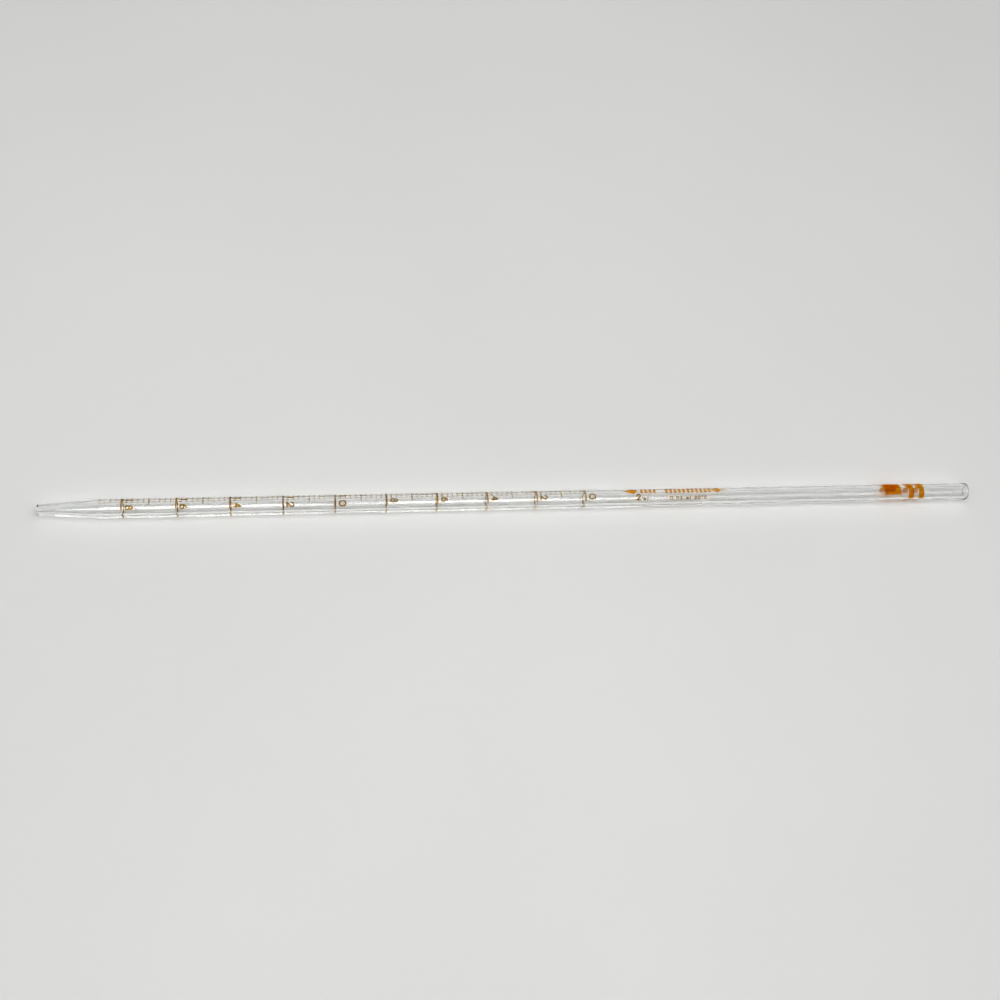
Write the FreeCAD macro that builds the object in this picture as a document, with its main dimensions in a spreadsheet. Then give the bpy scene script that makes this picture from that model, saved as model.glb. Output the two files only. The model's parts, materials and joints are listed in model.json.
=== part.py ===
import FreeCAD, Part

import math
import os

import Sketcher

# A 2 ml serological pipette: one thick-walled glass tube with a drawn delivery tip, and the
# amber graduation stained onto its outside. It lies along X, the tip at -X and the mouthpiece
# at +X, with the middle of its length over the origin and its lowest point at Z = 0.
#
# Every distance along the pipette is counted from the end of the tip. Every angle round it is
# counted from straight up (+Z) towards the back (+Y).

SIZES = {
    "overall_length": 340.8,
    "outer_diameter": 6.55,
    "bore_diameter": 3.765,
    # delivery tip
    "tip_section_length": 24.8,
    "taper_length": 20.8,
    "tip_bead_diameter": 3.86,
    "tip_bead_length": 1.3,
    "tip_neck_diameter": 3.70,
    "orifice_diameter": 1.5,
    "orifice_land": 1.0,
    "shoulder_radius": 30.0,
    "tip_outer_rounding": 0.5,
    "tip_inner_rounding": 0.4,
    # glass above the tip
    "tube_end": 196.8,
    "stem_end": 298.8,
    "rim_outer_rounding": 0.6,
    "rim_inner_rounding": 0.5,
    # graduation: 0.1 ml of bore is pitch long, and the zero ring is 2 ml above the tip's end
    "pitch": 8.983,
    "zero_from_tip": 189.44,
    "divisions_per_pitch": 5.0,
    "stain_thickness": 0.02,
    "ring_width": 0.45,
    "ring_start": -34.0,
    "ring_sweep": 298.0,
    "half_line_width": 0.3,
    "half_line_start": -4.0,
    "half_line_sweep": 90.0,
    "fine_line_width": 0.2,
    "fine_line_start": 12.0,
    "fine_line_sweep": 60.0,
    # numerals
    "numeral_height": 2.7,
    "numeral_stroke": 0.5,
    "numeral_gap": 1.15,
    "numeral_angle": -5.0,
    "numeral_angle_of_three": -17.0,
    "letter_space": 0.55,
    # capacity band and blow-out rings
    "band_from_tip": 309.35,
    "band_width": 6.7,
    "band_start": -33.0,
    "band_sweep": 179.0,
    "lower_ring_from_tip": 316.8,
    "upper_ring_from_tip": 320.95,
    "blow_out_ring_width": 2.1,
    "blow_out_ring_start": -67.0,
    "blow_out_ring_sweep": 234.0,
    # inscription
    "ornament_angle": 27.0,
    "ornament_height": 2.6,
    "left_point_from_tip": 203.8,
    "left_point_length": 5.2,
    "left_point_broadest": 3.64,
    "right_point_from_tip": 237.4,
    "right_point_length": 3.7,
    "right_point_broadest": 2.22,
    "tail_width": 0.3,
    "tail_end": 243.6,
    "small_bars_from_tip": 210.1,
    "small_bars_end": 216.1,
    "small_bar_height": 2.0,
    "large_bars_from_tip": 219.6,
    "large_bars_end": 237.1,
    "large_bar_height": 2.2,
    "bar_pitch": 1.65,
    "bar_width": 0.9,
    "capacity_from_tip": 208.4,
    "capacity_angle": -15.0,
    "capacity_height": 2.5,
    "capacity_stroke": 0.5,
    "small_text_angle": -25.0,
    "small_text_height": 1.3,
    "small_text_stroke": 0.3,
    "small_text_space": 0.42,
    "unit_from_tip": 211.0,
    "details_from_tip": 221.2,
}

LAST_RING = 18
RING_STEP = 2

# Each glyph is its width and its strokes' middle lines, on a cell one high.
# A line is (x, y, x, y). An arc is (centre x, centre y, radius, start angle, sweep).
GLYPHS = {
    "0": (0.78, ((0, 0.39, 0, 0.61), (0.78, 0.39, 0.78, 0.61),
                 (0.39, 0.61, 0.39, 0, 180), (0.39, 0.39, 0.39, 180, 180))),
    "1": (0.18, ((0.18, 0, 0.18, 1), (0, 0.82, 0.18, 1))),
    "2": (0.58, ((0, 0, 0.58, 0), (0, 0, 0.53, 0.54), (0.29, 0.71, 0.29, -35, 215))),
    "4": (0.62, ((0.45, 0, 0.45, 1), (0.45, 1, 0, 0.3), (0, 0.3, 0.62, 0.3))),
    "6": (0.58, ((0.29, 0.29, 0.29, 0, 360), (0.7, 0.29, 0.7, 112, 68))),
    "8": (0.58, ((0.29, 0.27, 0.27, 0, 360), (0.29, 0.77, 0.23, 0, 360))),
    ".": (0, ((0, 0, 0, 0),)),
    "m": (0.72, ((0, 0, 0, 0.62), (0.36, 0, 0.36, 0.44), (0.72, 0, 0.72, 0.44),
                 (0.18, 0.44, 0.18, 0, 180), (0.54, 0.44, 0.18, 0, 180))),
    "l": (0, ((0, 0, 0, 1),)),
    "C": (0.62, ((0, 0.39, 0, 0.61), (0.36, 0.61, 0.36, 35, 145), (0.36, 0.39, 0.36, 180, 145))),
    "o": (0.28, ((0.14, 0.86, 0.14, 0, 360),)),
    " ": (0.3, ()),
}

STAIN_RADIUS = "Sizes.outer_diameter / 2 + Sizes.stain_thickness"
# the rings pass under the tube, so the stain is what touches the ground
AXIS_HEIGHT = STAIN_RADIUS
HALF_LENGTH = "Sizes.overall_length / 2"

doc = FreeCAD.newDocument("SerologicalPipette")
sub_parts = []


# ---- driving dimensions ---------------------------------------------------------------------


def fill_sheet():
    """The sheet of driving dimensions, one row each."""
    made = doc.addObject("Spreadsheet::Sheet", "Sizes")
    for row, (alias, value) in enumerate(SIZES.items(), start=1):
        made.set(f"A{row}", alias)
        made.set(f"B{row}", str(value))
        made.setAlias(f"B{row}", alias)
    doc.recompute()
    return made


sheet = fill_sheet()


def size(alias):
    return float(sheet.get(alias))


# ---- glass ----------------------------------------------------------------------------------


def origin_plane(body, role):
    return next(f for f in body.Origin.OriginFeatures if f.Role == role)


def place_along_axis(thing):
    """Puts a piece made about its own X axis, counted from the tip's end, where the pipette lies."""
    thing.setExpression("Placement.Base.x", f"-{HALF_LENGTH}")
    thing.setExpression("Placement.Base.z", AXIS_HEIGHT)


def shoulder(corner, point):
    """The arc that flares from a taper out to the straight tube at a corner, and the place and
    angle where the taper's line from a point meets it."""
    radius = size("shoulder_radius")
    centre = corner - FreeCAD.Vector(0, radius, 0)
    reach = point - centre
    angle = math.atan2(reach.y, reach.x) - math.acos(radius / reach.Length)
    meeting = centre + FreeCAD.Vector(math.cos(angle), math.sin(angle), 0) * radius
    circle = Part.Circle(centre, FreeCAD.Vector(0, 0, 1), radius)
    return Part.ArcOfCircle(circle, math.pi / 2, angle), meeting


def outline_edges(corners, flares):
    """Each edge of a closed outline as its geometry and which of its ends comes first."""
    edges = []
    for i, corner in enumerate(corners):
        following = corners[(i + 1) % len(corners)]
        if flares[i] == "leaves":
            arc, meeting = shoulder(corner, following)
            edges += [(arc, 1), (Part.LineSegment(meeting, following), 1)]
        elif flares[(i + 1) % len(corners)] == "arrives":
            arc, meeting = shoulder(following, corner)
            edges += [(Part.LineSegment(corner, meeting), 1), (arc, 2)]
        else:
            edges.append((Part.LineSegment(corner, following), 1))
    return edges


def revolved_glass(name, outline):
    """A body turned about the pipette's axis. Each corner of its outline is the distance from
    the tip (None for none) and the diameter there. A corner where the tube flares also says
    whether the outline leaves or arrives along the shoulder's arc."""
    body = doc.addObject("PartDesign::Body", name)
    body.Label = name
    sketch = body.newObject("Sketcher::SketchObject", f"{name}_profile")
    sketch.AttachmentSupport = [(origin_plane(body, "XZ_Plane"), "")]
    sketch.MapMode = "FlatFace"
    corners = [FreeCAD.Vector(size(c[0]) if c[0] else 0, size(c[1]) / 2, 0) for c in outline]
    flares = [c[2] if len(c) == 3 else None for c in outline]
    edges = outline_edges(corners, flares)
    sketch.addGeometry([geometry for geometry, _ in edges], False)
    for number, (geometry, first) in enumerate(edges):
        after = (number + 1) % len(edges)
        bends = isinstance(geometry, Part.LineSegment) and isinstance(
            edges[after][0], Part.LineSegment
        )
        sketch.addConstraint(Sketcher.Constraint(
            "Coincident" if bends else "Tangent", number, 3 - first, after, edges[after][1]
        ))
        if not isinstance(geometry, Part.LineSegment):
            held = sketch.addConstraint(Sketcher.Constraint("Radius", number, geometry.Radius))
            sketch.setExpression(f"Constraints[{held}]", "Sizes.shoulder_radius")
    for corner, place in zip(outline, corners):
        number, end = edge_at(edges, place)
        if corner[0]:
            held = sketch.addConstraint(
                Sketcher.Constraint("DistanceX", -1, 1, number, end, place.x)
            )
            sketch.setExpression(f"Constraints[{held}]", f"Sizes.{corner[0]}")
        else:
            sketch.addConstraint(Sketcher.Constraint("PointOnObject", number, end, -2))
        held = sketch.addConstraint(Sketcher.Constraint("DistanceY", -1, 1, number, end, place.y))
        sketch.setExpression(f"Constraints[{held}]", f"Sizes.{corner[1]} / 2")
    turned = body.newObject("PartDesign::Revolution", f"{name}_turned")
    turned.Profile = sketch
    turned.ReferenceAxis = (sketch, ["H_Axis"])
    turned.Angle = 360.0
    body.Tip = turned
    place_along_axis(body)
    doc.recompute()
    sub_parts.append(body)
    return body


def edge_at(edges, place):
    """The number of a straight edge with an end at a place, and which end that is."""
    for number, (geometry, _) in enumerate(edges):
        if isinstance(geometry, Part.LineSegment):
            for end, point in ((1, geometry.StartPoint), (2, geometry.EndPoint)):
                if point.distanceToPoint(place) < 1e-9:
                    return number, end
    raise RuntimeError("an outline has a corner on no straight edge")


def round_edge(body, from_tip, diameter, rounding):
    """Rounds the circular edge of that diameter at that distance from the tip's end."""
    base = body.Tip
    names = [
        f"Edge{number}"
        for number, edge in enumerate(base.Shape.Edges, start=1)
        if isinstance(edge.Curve, Part.Circle)
        and math.isclose(edge.Curve.Radius, size(diameter) / 2, abs_tol=1e-4)
        and math.isclose(edge.Curve.Center.x, from_tip, abs_tol=1e-4)
    ]
    fillet = body.newObject("PartDesign::Fillet", f"{body.Name}_{rounding}")
    fillet.Base = (base, names)
    fillet.setExpression("Radius", f"Sizes.{rounding}")
    body.Tip = fillet
    doc.recompute()


def make_glass():
    tip = revolved_glass("delivery_tip", [
        (None, "orifice_diameter"),
        ("orifice_land", "orifice_diameter"),
        ("taper_length", "bore_diameter", "arrives"),
        ("tip_section_length", "bore_diameter"),
        ("tip_section_length", "outer_diameter"),
        ("taper_length", "outer_diameter", "leaves"),
        ("tip_bead_length", "tip_neck_diameter"),
        (None, "tip_bead_diameter"),
    ])
    round_edge(tip, 0, "tip_bead_diameter", "tip_outer_rounding")
    round_edge(tip, 0, "orifice_diameter", "tip_inner_rounding")
    tube = {}
    for name, start, end in (
        ("measuring_tube", "tip_section_length", "tube_end"),
        ("suction_stem", "tube_end", "stem_end"),
        ("mouthpiece", "stem_end", "overall_length"),
    ):
        tube[name] = revolved_glass(name, [
            (start, "bore_diameter"),
            (end, "bore_diameter"),
            (end, "outer_diameter"),
            (start, "outer_diameter"),
        ])
    length = size("overall_length")
    round_edge(tube["mouthpiece"], length, "outer_diameter", "rim_outer_rounding")
    round_edge(tube["mouthpiece"], length, "bore_diameter", "rim_inner_rounding")


# ---- lines stained round the tube -----------------------------------------------------------


def make_glass_core():
    """The solid inside of every mark: a rod of the glass's outer diameter."""
    core = doc.addObject("Part::Cylinder", "GlassCore")
    core.setExpression("Radius", "Sizes.outer_diameter / 2")
    core.setExpression("Height", "Sizes.overall_length")
    core.Placement.Rotation = FreeCAD.Rotation(FreeCAD.Vector(0, 1, 0), 90)
    place_along_axis(core)
    return core


def turned_from(start):
    """Lays a cylinder's own axis along -X and starts its sweep at this angle from straight up."""
    angle = math.radians(start)
    first = FreeCAD.Vector(0, math.sin(angle), math.cos(angle))
    axis = FreeCAD.Vector(-1, 0, 0)
    return FreeCAD.Rotation(first, axis.cross(first), axis, "ZXY")


def sector(name, from_tip, width, start, sweep):
    """A pie piece as wide as a line, reaching the outside of the stain."""
    piece = doc.addObject("Part::Cylinder", name)
    piece.setExpression("Radius", STAIN_RADIUS)
    piece.setExpression("Height", f"Sizes.{width}")
    piece.setExpression("Angle", f"Sizes.{sweep}")
    piece.Placement.Rotation = turned_from(size(start))
    piece.setExpression("Placement.Base.x", f"{from_tip} + Sizes.{width} / 2 - {HALF_LENGTH}")
    piece.setExpression("Placement.Base.z", AXIS_HEIGHT)
    return piece


def level(tenths):
    """The expression for where a reading, in tenths of a millilitre, stands from the tip's end."""
    return f"Sizes.zero_from_tip - {tenths} * Sizes.pitch"


def stained(name, whole, tool):
    """A sub-part: what is left of a solid outside the tool."""
    mark = doc.addObject("Part::Cut", name)
    mark.Label = name
    mark.Base = whole
    mark.Tool = tool
    return mark


def arc_line(name, from_tip, width, start, sweep):
    whole = sector(f"{name}_sector", from_tip, width, start, sweep)
    sub_parts.append(stained(name, whole, core))


def make_rings_and_half_lines():
    for reading in range(0, LAST_RING + 1, RING_STEP):
        arc_line(f"ring_line_{reading * 10:03d}", level(reading),
                 "ring_width", "ring_start", "ring_sweep")
    for reading in range(1, LAST_RING, RING_STEP):
        arc_line(f"half_line_{reading * 10:03d}", level(reading),
                 "half_line_width", "half_line_start", "half_line_sweep")


def make_fine_lines(numerals):
    """The 0.02 ml lines between two rings, or below the last ring, as one group of solids."""
    per_pitch = int(size("divisions_per_pitch"))
    for ring in range(0, LAST_RING + 1, RING_STEP):
        pitches = RING_STEP if ring < LAST_RING else 1
        name = f"fine_lines_{ring * 10:03d}"
        lines = []
        for number in range(1, pitches * per_pitch):
            if number % per_pitch == 0:
                continue
            where = level(f"({ring} + {number} / Sizes.divisions_per_pitch)")
            lines.append(sector(f"{name}_{number}", where,
                                "fine_line_width", "fine_line_start", "fine_line_sweep"))
        group = doc.addObject("Part::Compound", f"{name}_sectors")
        group.Links = lines
        clear = stained(f"{name}_whole", group, core)
        # the next ring's numeral stands over the first lines below it
        over = numerals.get(ring + RING_STEP)
        sub_parts.append(stained(name, clear, over) if over else clear)
        sub_parts[-1].Label = name


# ---- lettering ------------------------------------------------------------------------------


def bar(x, y, length, across, angle, depth):
    """A block along a line from (x, y), centred on it."""
    block = Part.makeBox(length, across, depth, FreeCAD.Vector(0, -across / 2, 0))
    block.rotate(FreeCAD.Vector(), FreeCAD.Vector(0, 0, 1), angle)
    block.translate(FreeCAD.Vector(x, y, 0))
    return block


def post(x, y, radius, depth):
    return Part.makeCylinder(radius, depth, FreeCAD.Vector(x, y, 0))


def stroke_solids(stroke, scale, width, depth):
    """The solids of one stroke with round ends."""
    half = width / 2
    if len(stroke) == 4:
        x, y, far_x, far_y = (scale * v for v in stroke)
        length = math.hypot(far_x - x, far_y - y)
        ends = [post(x, y, half, depth), post(far_x, far_y, half, depth)]
        if length == 0:
            return ends[:1]
        angle = math.degrees(math.atan2(far_y - y, far_x - x))
        return [bar(x, y, length, width, angle, depth), *ends]
    x, y, radius = (scale * v for v in stroke[:3])
    start, sweep = stroke[3:]
    centre, up = FreeCAD.Vector(x, y, 0), FreeCAD.Vector(0, 0, 1)
    ring = Part.makeCylinder(radius + half, depth, centre, up, sweep)
    if radius > half:
        ring = ring.cut(Part.makeCylinder(radius - half, depth, centre, up))
    ring.rotate(centre, up, start)
    if sweep == 360:
        return [ring]
    turns = [math.radians(a) for a in (start, start + sweep)]
    ends = [post(x + radius * math.cos(a), y + radius * math.sin(a), half, depth) for a in turns]
    return [ring, *ends]


def wrapped(solids, reach):
    """The part of some upright solids that lies in the stain, over the top of the tube."""
    outer = size("outer_diameter") / 2
    along = FreeCAD.Vector(1, 0, 0)
    start, end = reach
    base = FreeCAD.Vector(start, 0, 0)
    length = end - start
    skin = Part.makeCylinder(outer + size("stain_thickness"), length, base, along)
    skin = skin.cut(Part.makeCylinder(outer, length, base, along))
    whole = solids[0].multiFuse(solids[1:]) if len(solids) > 1 else solids[0]
    return whole.common(skin).removeSplitter()


def glyph(letter, height, width, upright):
    """One glyph over the top of the tube, its middle at X = 0, and its own width. An upright
    one has its top towards the mouthpiece. Any other reads along the tube."""
    depth = size("outer_diameter")
    scale = height - width
    cell, strokes = GLYPHS[letter]
    solids = [s for stroke in strokes for s in stroke_solids(stroke, scale, width, depth)]
    for solid in solids:
        solid.translate(FreeCAD.Vector(-cell * scale / 2, -scale / 2, 0))
        if upright:
            solid.rotate(FreeCAD.Vector(), FreeCAD.Vector(0, 0, 1), -90)
    return solids, cell * scale + width


def rolled(shape, from_tip, angle):
    """Moves a mark along the tube and round it."""
    shape.translate(FreeCAD.Vector(from_tip, 0, 0))
    shape.rotate(FreeCAD.Vector(), FreeCAD.Vector(1, 0, 0), -angle)
    return shape


def lettering(name, shapes):
    """A sub-part of separate glyphs, lying on the outside of the glass."""
    mark = doc.addObject("Part::Feature", name)
    mark.Label = name
    mark.Shape = Part.makeCompound([s for shape in shapes for s in shape.Solids])
    place_along_axis(mark)
    sub_parts.append(mark)
    return mark


def numeral(reading):
    """A ring's number, beside the ring on its mouthpiece side, read with the tip hanging down."""
    text = f"{reading / 10:.1f}".removeprefix("0") if reading else "0"
    height, width = size("numeral_height"), size("numeral_stroke")
    outer = size("outer_diameter") / 2
    middle = size("zero_from_tip") - reading * size("pitch") + size("numeral_gap") + height / 2
    angle = size("numeral_angle_of_three" if len(text) == 3 else "numeral_angle")
    shapes = []
    half_before = None
    for letter in reversed(text):
        solids, across = glyph(letter, height, width, upright=True)
        if half_before is not None:
            angle += math.degrees((half_before + size("letter_space") + across / 2) / outer)
        half_before = across / 2
        shapes.append(rolled(wrapped(solids, (-height, height)), middle, angle))
    return lettering(f"numeral_{reading * 10:03d}", shapes)


def line_of_text(text, from_tip, angle, height, width, space):
    """Glyphs that read along the tube from tip to mouthpiece."""
    shapes = []
    at = from_tip
    for letter in text:
        solids, across = glyph(letter, height, width, upright=False)
        if solids:
            middle = at + across / 2
            shapes.append(rolled(wrapped(solids, (-height, height)), middle, angle))
        at += across + space
    return shapes


def make_inscription():
    """Generic markings: nominal capacity, division value and temperature."""
    space = size("small_text_space")
    small = (size("small_text_angle"), size("small_text_height"), size("small_text_stroke"), space)
    capacity = line_of_text("2", size("capacity_from_tip"), size("capacity_angle"),
                            size("capacity_height"), size("capacity_stroke"), space)
    capacity += line_of_text("ml", size("unit_from_tip"), *small)
    lettering("capacity_text", capacity)
    lettering("division_text", line_of_text("0.02 ml 20oC", size("details_from_tip"), *small))


# ---- plain ornament row ---------------------------------------------------------------------


def flat_outline(points, depth):
    """An upright solid on a closed outline of (x, y) corners."""
    wire = Part.makePolygon([FreeCAD.Vector(x, y, 0) for x, y in (*points, points[0])])
    return Part.Face(wire).extrude(FreeCAD.Vector(0, 0, depth))


def bar_row(start, end, height, depth):
    """Plain upright bars between two distances."""
    pitch, width = size("bar_pitch"), size("bar_width")
    bars = []
    for number in range(int((end - start - width) / pitch) + 1):
        at = start + number * pitch
        bars.append(Part.makeBox(width, height, depth, FreeCAD.Vector(at, -height / 2, 0)))
    return bars


def make_ornament():
    """A pointed end, two runs of plain bars and a second pointed end with a tail."""
    depth = size("outer_diameter")
    half = size("ornament_height") / 2
    angle = size("ornament_angle")
    left, left_long = size("left_point_from_tip"), size("left_point_length")
    right, right_long = size("right_point_from_tip"), size("right_point_length")
    left_broad, right_broad = size("left_point_broadest"), size("right_point_broadest")
    tail, tail_end = size("tail_width") / 2, size("tail_end")
    reach = (left, tail_end)
    left_point = [(left, 0), (left + left_broad, half), (left + left_long, 0),
                  (left + left_broad, -half)]
    right_point = [(right, 0), (right + right_broad, -half), (right + right_long, -tail),
                   (tail_end, -tail), (tail_end, tail), (right + right_long, tail),
                   (right + right_broad, half)]
    for name, solids in (
        ("left_pointed_mark", [flat_outline(left_point, depth)]),
        ("right_pointed_mark", [flat_outline(right_point, depth)]),
        ("small_bar_row", bar_row(size("small_bars_from_tip"), size("small_bars_end"),
                                  size("small_bar_height"), depth)),
        ("large_bar_row", bar_row(size("large_bars_from_tip"), size("large_bars_end"),
                                  size("large_bar_height"), depth)),
    ):
        shapes = [rolled(wrapped([s], reach), 0, angle) for s in solids]
        lettering(name, shapes)


# ---- assembly -------------------------------------------------------------------------------


make_glass()
core = make_glass_core()
make_rings_and_half_lines()
doc.recompute()
numerals = {reading: numeral(reading) for reading in range(0, LAST_RING + 1, RING_STEP)}
make_fine_lines(numerals)
make_inscription()
make_ornament()
arc_line("capacity_band", "Sizes.band_from_tip", "band_width", "band_start", "band_sweep")
for place in ("lower", "upper"):
    arc_line(f"{place}_blow_out_ring", f"Sizes.{place}_ring_from_tip", "blow_out_ring_width",
             "blow_out_ring_start", "blow_out_ring_sweep")
doc.recompute()

for thing in doc.Objects:
    if any(word in thing.State for word in ("Invalid", "Error")):
        raise RuntimeError(f"{thing.Label} failed to build: {thing.State}")
for part in sub_parts:
    if part.Shape.isNull() or not part.Shape.isValid() or not part.Shape.Solids:
        raise RuntimeError(f"{part.Label} has no valid solid")

os.makedirs("parts", exist_ok=True)
for part in sub_parts:
    part.Shape.exportStep(f"parts/{part.Label}.step")
print(len(sub_parts), "sub-parts written")
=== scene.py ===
import json
import math

import bmesh
import bpy
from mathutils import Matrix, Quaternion, Vector


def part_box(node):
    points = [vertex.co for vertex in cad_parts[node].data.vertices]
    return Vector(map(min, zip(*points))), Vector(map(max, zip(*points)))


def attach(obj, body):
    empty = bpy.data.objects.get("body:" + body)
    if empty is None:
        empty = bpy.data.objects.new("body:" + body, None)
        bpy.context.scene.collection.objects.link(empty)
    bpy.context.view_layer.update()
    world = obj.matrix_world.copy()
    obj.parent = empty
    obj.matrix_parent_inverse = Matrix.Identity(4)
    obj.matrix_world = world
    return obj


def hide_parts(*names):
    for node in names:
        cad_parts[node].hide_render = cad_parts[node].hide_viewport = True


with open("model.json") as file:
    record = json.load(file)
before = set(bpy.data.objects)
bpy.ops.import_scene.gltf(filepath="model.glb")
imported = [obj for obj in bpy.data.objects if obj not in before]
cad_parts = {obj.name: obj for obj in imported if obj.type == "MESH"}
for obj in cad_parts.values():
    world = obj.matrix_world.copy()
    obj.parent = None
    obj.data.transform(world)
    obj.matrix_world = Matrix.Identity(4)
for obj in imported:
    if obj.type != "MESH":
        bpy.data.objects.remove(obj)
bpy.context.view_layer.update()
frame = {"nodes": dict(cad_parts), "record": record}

# A 2 ml serological pipette on a pale table, seen nearly from above. Lengths are in metres.

MM = 0.001

GLASS_NODES = ("delivery_tip", "measuring_tube", "suction_stem", "mouthpiece")
SEGMENTS = 256  # round the tube
ARC_STEPS = 12  # along each rounding

# tip and rim, in millimetres
ORIFICE_RADIUS = 0.75
ORIFICE_LAND = 1.0
BEAD_RADIUS = 1.93
NECK_FROM_TIP = 1.3
NECK_RADIUS = 1.85
TAPER_END = 20.8
SHOULDER_RADIUS = 30.0
TIP_OUTER_ROUNDING = 0.5
TIP_INNER_ROUNDING = 0.4
RIM_OUTER_ROUNDING = 0.6
RIM_INNER_ROUNDING = 0.5

# stain
STAIN_STEP = 2.0  # degrees between the cuts that let it follow the round glass
STAIN_DEPTH = 0.008  # millimetres that it is fired into the glass
WELD_WITHIN = 1e-7  # metres
ON_PLANE_WITHIN = 1e-9  # metres
AMBER_NODES = (
    "capacity_band", "lower_blow_out_ring", "upper_blow_out_ring",
    "left_pointed_mark", "small_bar_row", "large_bar_row", "right_pointed_mark",
)

# camera, from the photograph's perspective
CAMERA_PLACE = (-0.0817, -0.1463, 0.3844)
CAMERA_AIM = (-0.0121, 0.0, 0.0040)
CAMERA_ROLL = 22.49  # degrees
LENS = 41.4  # millimetres
NEAREST_SEEN = 0.01

TABLE_HALF_WIDTH = 4.0

# lamps: name, height, angles over the tube in degrees, places along it and radiance
LAMPS = (
    ("left_lamp", 0.75, (-21, -6), (-0.285, -0.082), 8.5),
    ("right_lamp", 0.75, (-21, -6), (-0.030, 0.207), 8.5),
    ("middle_strip", 0.75, (2, 6), (-0.285, 0.24), 7.0),
    ("back_lamp", 0.75, (31, 39), (-0.6, 0.6), 1.5),
    ("ceiling_panel", 3.0, (-36, 20), (-4.0, 4.0), 1.5),
)

# the room's colours low down and overhead, and the heights in the sky between which they blend
HORIZON = (0.60, 0.60, 0.60)
CEILING = (0.08, 0.08, 0.08)
ROOM_BLEND = (0.08, 0.30)

# light crosses the thick wall many times before it reaches the table
LIGHT_BOUNCES = 32


# ---- shared helpers -------------------------------------------------------------------------


def linked(name, data):
    made = bpy.data.objects.new(name, data)
    bpy.context.scene.collection.objects.link(made)
    return made


def new_material(name):
    """An empty material, its node maker and its link maker."""
    material = bpy.data.materials.new(name)
    material.use_nodes = True
    tree = material.node_tree
    tree.nodes.clear()
    return material, tree.nodes.new, tree.links.new


def stretched_noise(node, link, scale, detail, stretch):
    """Noise in the object's own space, drawn out along the tube by the stretch."""
    place = node("ShaderNodeTexCoord")
    squeeze = node("ShaderNodeMapping")
    squeeze.inputs["Scale"].default_value = (1 / stretch, 1, 1)
    noise = node("ShaderNodeTexNoise")
    noise.inputs["Scale"].default_value = scale
    noise.inputs["Detail"].default_value = detail
    link(place.outputs["Object"], squeeze.inputs["Vector"])
    link(squeeze.outputs["Vector"], noise.inputs["Vector"])
    return noise.outputs["Fac"]


def ramp(node, link, value, low, high, spread=(0.35, 0.65)):
    """A value turned into a colour between two."""
    made = node("ShaderNodeValToRGB")
    ends = made.color_ramp.elements
    ends[0].position, ends[1].position = spread
    ends[0].color, ends[1].color = (*low, 1), (*high, 1)
    link(value, made.inputs["Fac"])
    return made.outputs["Color"]


def ranged(node, link, value, low, high, spread=(0.35, 0.65)):
    """A value moved into a range."""
    made = node("ShaderNodeMapRange")
    made.inputs["From Min"].default_value, made.inputs["From Max"].default_value = spread
    made.inputs["To Min"].default_value, made.inputs["To Max"].default_value = low, high
    link(value, made.inputs["Value"])
    return made.outputs["Result"]


# ---- materials ------------------------------------------------------------------------------


def glass_material():
    """Clear borosilicate glass with faint drawing lines along it and a few handling smears."""
    material, node, link = new_material("drawn_glass")
    shader = node("ShaderNodeBsdfPrincipled")
    shader.inputs["Transmission Weight"].default_value = 1
    shader.inputs["IOR"].default_value = 1.47
    tint = stretched_noise(node, link, 300, 2, 12)
    link(ramp(node, link, tint, (0.985, 0.993, 0.989), (1, 1, 1)), shader.inputs["Base Color"])
    smears = stretched_noise(node, link, 90, 4, 3)
    link(ranged(node, link, smears, 0.0, 0.02, (0.55, 0.75)), shader.inputs["Roughness"])
    lines = stretched_noise(node, link, 500, 1, 60)
    bump = node("ShaderNodeBump")
    bump.inputs["Strength"].default_value = 0.035
    bump.inputs["Distance"].default_value = 0.02 * MM
    link(lines, bump.inputs["Height"])
    link(bump.outputs["Normal"], shader.inputs["Normal"])
    out = node("ShaderNodeOutputMaterial")
    link(shader.outputs["BSDF"], out.inputs["Surface"])
    return material


def film_material(name, tints, bodies, shares):
    """Colour fired into the glass: a tinted film, denser in places, with a little body. The
    light is tinted once on entering the film and once on leaving it."""
    material, node, link = new_material(name)
    density = stretched_noise(node, link, 2500, 3, 1)
    film = node("ShaderNodeBsdfTransparent")
    link(ramp(node, link, density, *tints), film.inputs["Color"])
    body = node("ShaderNodeBsdfPrincipled")
    link(ramp(node, link, density, *bodies), body.inputs["Base Color"])
    body.inputs["Roughness"].default_value = 0.22
    mix = node("ShaderNodeMixShader")
    link(ranged(node, link, density, *shares), mix.inputs["Fac"])
    link(film.outputs["BSDF"], mix.inputs[1])
    link(body.outputs["BSDF"], mix.inputs[2])
    out = node("ShaderNodeOutputMaterial")
    link(mix.outputs["Shader"], out.inputs["Surface"])
    return material


def amber_material():
    """The clear amber of the bands and the ornament."""
    return film_material("amber_band_film", ((0.86, 0.53, 0.03), (0.92, 0.60, 0.08)),
                         ((0.50, 0.16, 0.004), (0.62, 0.25, 0.008)), (0.02, 0.04))


def print_material():
    """The darker brown of the lines and the lettering."""
    return film_material("brown_print_film", ((0.62, 0.46, 0.03), (0.70, 0.54, 0.09)),
                         ((0.32, 0.14, 0.008), (0.44, 0.21, 0.014)), (0.04, 0.09))


def table_material():
    material, node, link = new_material("pale_table")
    shader = node("ShaderNodeBsdfPrincipled")
    shader.inputs["Roughness"].default_value = 0.65
    shader.inputs["Specular IOR Level"].default_value = 0.25
    grain = stretched_noise(node, link, 6, 3, 1)
    link(ramp(node, link, grain, (0.555, 0.555, 0.545), (0.57, 0.57, 0.56)),
         shader.inputs["Base Color"])
    out = node("ShaderNodeOutputMaterial")
    link(shader.outputs["BSDF"], out.inputs["Surface"])
    return material


# ---- glass ----------------------------------------------------------------------------------


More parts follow.
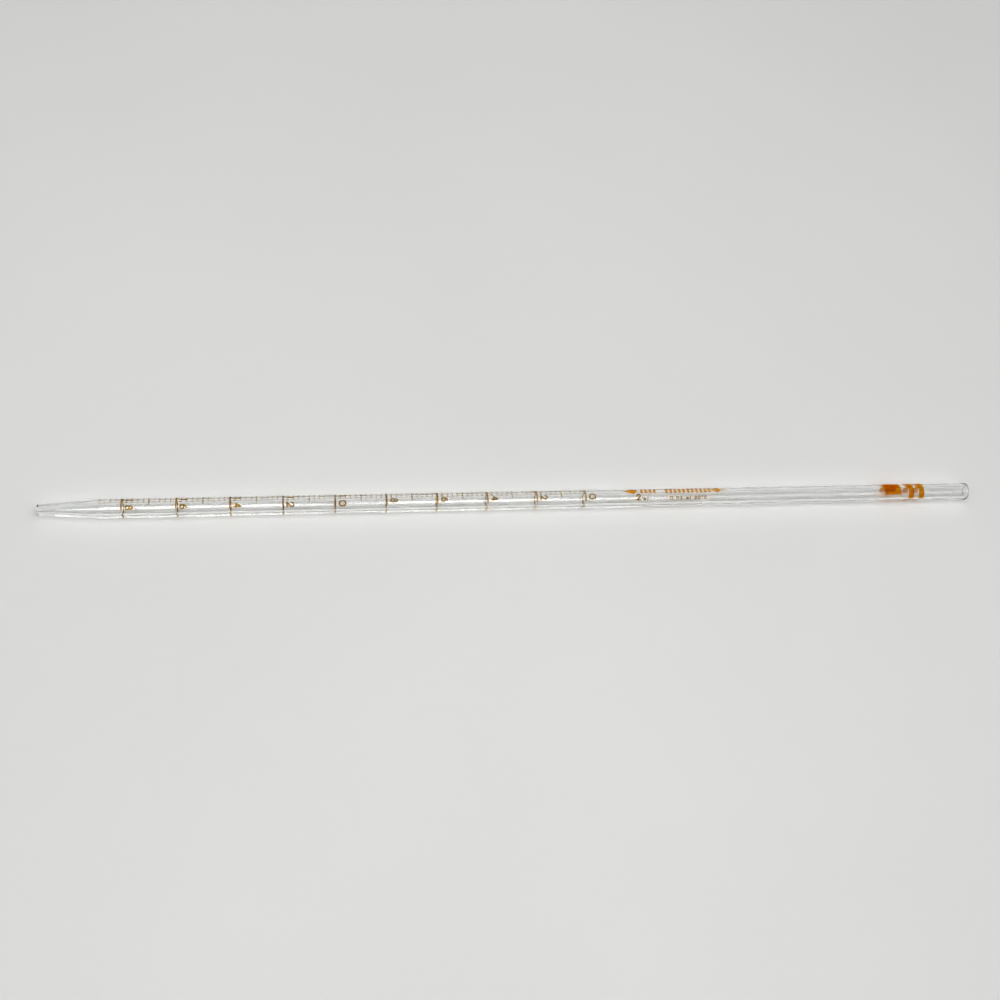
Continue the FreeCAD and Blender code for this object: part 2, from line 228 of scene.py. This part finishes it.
def quarter(centre, radius, start, sweep):
    """Points of a rounding on a profile of (distance from the tip, radius)."""
    angles = [math.radians(start + sweep * i / ARC_STEPS) for i in range(ARC_STEPS + 1)]
    return [(centre[0] + radius * math.cos(a), centre[1] + radius * math.sin(a)) for a in angles]


def flared(start, end):
    """A taper from a point that bends into the straight tube at the end, as the glass does."""
    centre = Vector((end[0], end[1] - SHOULDER_RADIUS))
    reach = Vector(start) - centre
    angle = math.atan2(reach.y, reach.x) - math.acos(SHOULDER_RADIUS / reach.length)
    turns = [angle + (math.pi / 2 - angle) * i / ARC_STEPS for i in range(ARC_STEPS + 1)]
    arc = [(centre.x + SHOULDER_RADIUS * math.cos(a), centre.y + SHOULDER_RADIUS * math.sin(a))
           for a in turns]
    return [start, *arc]


def glass_profile(length, outer, bore):
    """The closed section of the tube's wall, from the orifice round the outside and back."""
    tip = [
        *quarter((TIP_INNER_ROUNDING, ORIFICE_RADIUS + TIP_INNER_ROUNDING),
                 TIP_INNER_ROUNDING, -90, -90),
        *quarter((TIP_OUTER_ROUNDING, BEAD_RADIUS - TIP_OUTER_ROUNDING),
                 TIP_OUTER_ROUNDING, 180, -90),
    ]
    outside = flared((NECK_FROM_TIP, NECK_RADIUS), (TAPER_END, outer))
    rim = [
        *quarter((length - RIM_OUTER_ROUNDING, outer - RIM_OUTER_ROUNDING),
                 RIM_OUTER_ROUNDING, 90, -90),
        *quarter((length - RIM_INNER_ROUNDING, bore + RIM_INNER_ROUNDING),
                 RIM_INNER_ROUNDING, 0, -90),
    ]
    inside = flared((ORIFICE_LAND, ORIFICE_RADIUS), (TAPER_END, bore))[::-1]
    return tip + outside + rim + inside


def glass_radius():
    low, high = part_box("measuring_tube")
    return (high.z - low.z) / 2


def turned(profile, start):
    """A mesh of a closed profile turned about the tube's axis, from a place along it."""
    mesh_maker = bmesh.new()
    turns = [math.tau * i / SEGMENTS for i in range(SEGMENTS)]
    rings = [
        [mesh_maker.verts.new((start + x * MM, r * MM * math.sin(a),
                               AXIS_HEIGHT + r * MM * math.cos(a))) for a in turns]
        for x, r in profile
    ]
    for ring, following in zip(rings, rings[1:] + rings[:1]):
        for i in range(SEGMENTS):
            j = (i + 1) % SEGMENTS
            mesh_maker.faces.new((ring[i], ring[j], following[j], following[i]))
    bmesh.ops.recalc_face_normals(mesh_maker, faces=mesh_maker.faces)
    mesh = bpy.data.meshes.new("glass_tube")
    mesh_maker.to_mesh(mesh)
    mesh_maker.free()
    mesh.shade_smooth()
    return mesh


def make_glass_tube():
    tip_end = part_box("delivery_tip")[0].x
    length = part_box("mouthpiece")[1].x - tip_end
    bore = next(m for m in frame["record"]["mounts"] if m["name"] == "bore")["dims"]["r_mm"]
    mesh = turned(glass_profile(length / MM, glass_radius() / MM, bore), tip_end)
    tube = linked("glass_tube", mesh)
    mesh.materials.append(GLASS)
    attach(tube, "root")
    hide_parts(*GLASS_NODES)


# ---- stain ----------------------------------------------------------------------------------


def cut_fine(mesh_maker):
    """Cuts a mark along planes through the tube's axis, so that it can follow the round glass."""
    centre = Vector((0, 0, AXIS_HEIGHT))
    for number in range(int(180 / STAIN_STEP)):
        angle = math.radians(number * STAIN_STEP)
        whole = [*mesh_maker.verts, *mesh_maker.edges, *mesh_maker.faces]
        bmesh.ops.bisect_plane(mesh_maker, geom=whole, dist=ON_PLANE_WITHIN,
                               plane_co=centre, plane_no=(0, math.cos(angle), math.sin(angle)))


def lay_on_glass(mesh_maker):
    """Moves every point onto the film's inside or outside. The rings pass under the tube, so
    the stain's radius is the height of the axis."""
    inside = glass_radius() - STAIN_DEPTH * MM
    middle = (glass_radius() + AXIS_HEIGHT) / 2
    for vert in mesh_maker.verts:
        out = Vector((0, vert.co.y, vert.co.z - AXIS_HEIGHT))
        radius = AXIS_HEIGHT if out.length > middle else inside
        vert.co.yz = (Vector((0, 0, AXIS_HEIGHT)) + out.normalized() * radius).yz


def make_mark(node, material):
    """The stain's own film in place of a faceted CAD mark."""
    source = bpy.data.objects[node]
    mesh_maker = bmesh.new()
    mesh_maker.from_mesh(source.data)
    mesh_maker.transform(source.matrix_world)
    bmesh.ops.remove_doubles(mesh_maker, verts=mesh_maker.verts, dist=WELD_WITHIN)
    cut_fine(mesh_maker)
    lay_on_glass(mesh_maker)
    mesh = bpy.data.meshes.new(f"{node}_film")
    mesh_maker.to_mesh(mesh)
    mesh_maker.free()
    film = linked(f"{node}_film", mesh)
    mesh.materials.append(material)
    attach(film, "root")
    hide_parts(node)


# ---- table, lamps and camera ----------------------------------------------------------------


def make_table():
    half = TABLE_HALF_WIDTH
    mesh = bpy.data.meshes.new("table")
    corners = [(-half, -half, 0), (half, -half, 0), (half, half, 0), (-half, half, 0)]
    mesh.from_pydata(corners, [], [(0, 1, 2, 3)])
    mesh.materials.append(table_material())
    linked("table", mesh)


def make_panel(name, height, tilts, ends, radiance):
    """A level lamp over the table, between two angles from straight up over the tube towards
    the back, and between two places along it."""
    near, far = (height * math.tan(math.radians(tilt)) for tilt in tilts)
    light = bpy.data.lights.new(name, "AREA")
    light.shape = "RECTANGLE"
    light.size, light.size_y = ends[1] - ends[0], far - near
    light.energy = radiance * math.pi * light.size * light.size_y
    lamp = linked(name, light)
    lamp.location = (sum(ends) / 2, (near + far) / 2, height)


def make_room():
    """Pale walls low down and a dim ceiling, which draws the dark lines in the glass."""
    world = bpy.data.worlds.new("room")
    world.use_nodes = True
    tree = world.node_tree
    tree.nodes.clear()
    node, link = tree.nodes.new, tree.links.new
    place = node("ShaderNodeTexCoord")
    parts = node("ShaderNodeSeparateXYZ")
    link(place.outputs["Generated"], parts.inputs["Vector"])
    light = node("ShaderNodeBackground")
    link(ramp(node, link, parts.outputs["Z"], HORIZON, CEILING, ROOM_BLEND),
         light.inputs["Color"])
    light.inputs["Strength"].default_value = 1.0
    out = node("ShaderNodeOutputWorld")
    link(light.outputs["Background"], out.inputs["Surface"])
    bpy.context.scene.world = world


def trace_light_fully():
    cycles = bpy.context.scene.cycles
    cycles.max_bounces = LIGHT_BOUNCES
    cycles.transmission_bounces = LIGHT_BOUNCES
    cycles.transparent_max_bounces = LIGHT_BOUNCES
    cycles.blur_glossy = 0


def make_camera():
    data = bpy.data.cameras.new("camera")
    data.lens = LENS
    data.clip_start = NEAREST_SEEN
    camera = linked("camera", data)
    camera.location = CAMERA_PLACE
    aim = (Vector(CAMERA_AIM) - Vector(CAMERA_PLACE)).to_track_quat("-Z", "Y")
    camera.rotation_mode = "QUATERNION"
    camera.rotation_quaternion = aim @ Quaternion((0, 0, 1), math.radians(CAMERA_ROLL))
    bpy.context.scene.camera = camera


AXIS_HEIGHT = sum(corner.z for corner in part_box("measuring_tube")) / 2
GLASS = glass_material()
AMBER = amber_material()
PRINT = print_material()
make_glass_tube()
for name in frame["nodes"]:
    if name not in GLASS_NODES:
        make_mark(name, AMBER if name in AMBER_NODES else PRINT)
make_table()
make_room()
for lamp in LAMPS:
    make_panel(*lamp)
make_camera()
trace_light_fully()
bpy.context.scene.view_settings.view_transform = "Standard"
